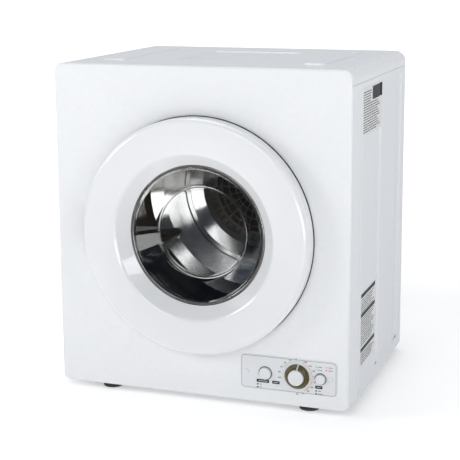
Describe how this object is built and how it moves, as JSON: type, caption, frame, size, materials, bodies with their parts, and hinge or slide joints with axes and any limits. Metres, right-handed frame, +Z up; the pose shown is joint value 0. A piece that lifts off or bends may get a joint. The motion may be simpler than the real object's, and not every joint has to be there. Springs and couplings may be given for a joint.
{
  "type": "clothes dryer",
  "caption": "Compact front-loading vented clothes dryer with a round door and bowl window, a spinning drum, belt drive, blower, lint filter, timer knob and push buttons.",
  "frame": {"origin": "on the floor, under the middle of the bounding box", "axes": "+Z up, +Y towards the back with the door facing -Y, +X to the right of a user who faces the door"},
  "size_m": [0.605, 0.538, 0.6745],
  "materials": {
    "white_enamel": "gloss",
    "white_plastic": "gloss",
    "window_clear": "clear polished",
    "bright_trim": "polished",
    "drum_stainless": "polished",
    "galvanised_steel": "satin",
    "bright_steel": "satin",
    "cast_aluminium": "as cast",
    "grey_plastic": "matte",
    "dark_grey_plastic": "gloss",
    "pale_plastic": "matte",
    "control_plate_grey": "satin",
    "knob_bronze": "satin",
    "black_plastic": "matte",
    "dark_rubber": "matte",
    "grey_rubber": "matte",
    "seal_felt": "felt",
    "lint_screen": "woven mesh",
    "heater_metal": "satin",
    "motor_paint": "semi-gloss"
  },
  "bodies": {
    "cabinet": {"front_panel": "white_enamel", "top_cover": "white_enamel", "left_side_panel": "white_enamel", "right_side_panel": "white_enamel", "base_pan": "galvanised_steel", "rear_panel": "galvanised_steel", "exhaust_collar": "galvanised_steel", "case_screws": "bright_steel", "cord_gland": "black_plastic", "foot_front_left": "dark_rubber", "foot_front_right": "dark_rubber", "foot_rear_left": "dark_rubber", "foot_rear_right": "dark_rubber", "front_bulkhead": "galvanised_steel", "front_felt_seal": "seal_felt", "drum_shaft": "bright_steel", "rear_duct": "galvanised_steel", "fan_housing": "pale_plastic", "heater_box": "galvanised_steel", "heater_element": "heater_metal", "thermostats": "black_plastic", "motor_casing": "motor_paint", "motor_bracket": "galvanised_steel", "capacitor": "heater_metal", "idler_bracket": "galvanised_steel", "drum_belt": "dark_rubber", "fan_belt": "dark_rubber", "hinge_bracket": "bright_steel", "hinge_pin": "bright_steel", "latch_catch": "black_plastic", "door_switch": "black_plastic", "control_plate": "control_plate_grey", "plate_screw_caps": "white_plastic", "start_switch": "black_plastic", "heat_switch": "black_plastic", "timer_body": "black_plastic"},
    "door": {"door_ring": "white_plastic", "window_trim_ring": "bright_trim", "window_bowl": "window_clear", "door_inner_ring": "white_plastic", "door_gasket": "grey_rubber", "latch_hook": "black_plastic", "hinge_leaf": "bright_steel", "door_screws": "bright_steel"},
    "drum": {"drum_shell": "drum_stainless", "drum_back": "drum_stainless", "drum_hub": "cast_aluminium", "drum_baffle_1": "dark_grey_plastic", "drum_baffle_2": "dark_grey_plastic", "drum_baffle_3": "dark_grey_plastic"},
    "lint_filter": {"filter_grille": "grey_plastic", "filter_mesh": "lint_screen"},
    "blower_wheel": {"fan_wheel": "black_plastic"},
    "motor_rotor": {"motor_rotor": "bright_steel"},
    "idler_arm": {"idler_arm": "bright_steel"},
    "idler_wheel": {"idler_wheel": "pale_plastic"},
    "timer_knob": {"timer_knob": "knob_bronze", "knob_cap": "white_plastic"},
    "start_button": {"start_button": "white_plastic"},
    "heat_button": {"heat_button": "white_plastic"}
  },
  "joints": [
    {"name": "door_hinge", "type": "hinge", "parent": "cabinet", "child": "door", "pos_m": [-0.221, -0.251, 0.345], "axis": [0, 0, -1], "range_deg": [0, 110]},
    {"name": "drum_spin", "type": "hinge", "parent": "cabinet", "child": "drum", "pos_m": [0, 0, 0.369], "axis": [0, 1, 0], "continuous": true},
    {"name": "filter_pull", "type": "slide", "parent": "drum", "child": "lint_filter", "axis": [0, -1, 0], "range_m": [0, 0.1]},
    {"name": "motor_spin", "type": "hinge", "parent": "cabinet", "child": "motor_rotor", "pos_m": [0.215, 0.05, 0.093], "axis": [0, 1, 0], "continuous": true},
    {"name": "blower_spin", "type": "hinge", "parent": "cabinet", "child": "blower_wheel", "pos_m": [0, 0.2, 0.369], "axis": [0, 1, 0], "continuous": true},
    {"name": "idler_swing", "type": "hinge", "parent": "cabinet", "child": "idler_arm", "pos_m": [0.262, 0.023, 0.08], "axis": [0, -1, 0], "range_deg": [0, 12], "stiffness_Nm_per_rad": 4, "springref_deg": -20.05},
    {"name": "idler_spin", "type": "hinge", "parent": "idler_arm", "child": "idler_wheel", "pos_m": [0.258, 0.041, 0.158], "axis": [0, 1, 0], "continuous": true},
    {"name": "timer_turn", "type": "hinge", "parent": "cabinet", "child": "timer_knob", "pos_m": [0.2, -0.239, 0.079], "axis": [0, 1, 0], "range_deg": [0, 330]},
    {"name": "start_press", "type": "slide", "parent": "cabinet", "child": "start_button", "axis": [0, 1, 0], "range_m": [0, 0.0035], "stiffness_N_per_m": 600, "springref_m": -0.003},
    {"name": "heat_press", "type": "slide", "parent": "cabinet", "child": "heat_button", "axis": [0, 1, 0], "range_m": [0, 0.0035], "stiffness_N_per_m": 600, "springref_m": -0.003}
  ],
  "couplings": [
    {"joint": "motor_spin", "follows": "drum_spin", "ratio": 22.69},
    {"joint": "blower_spin", "follows": "drum_spin", "ratio": 19.098},
    {"joint": "idler_spin", "follows": "drum_spin", "ratio": 12.298}
  ]
}
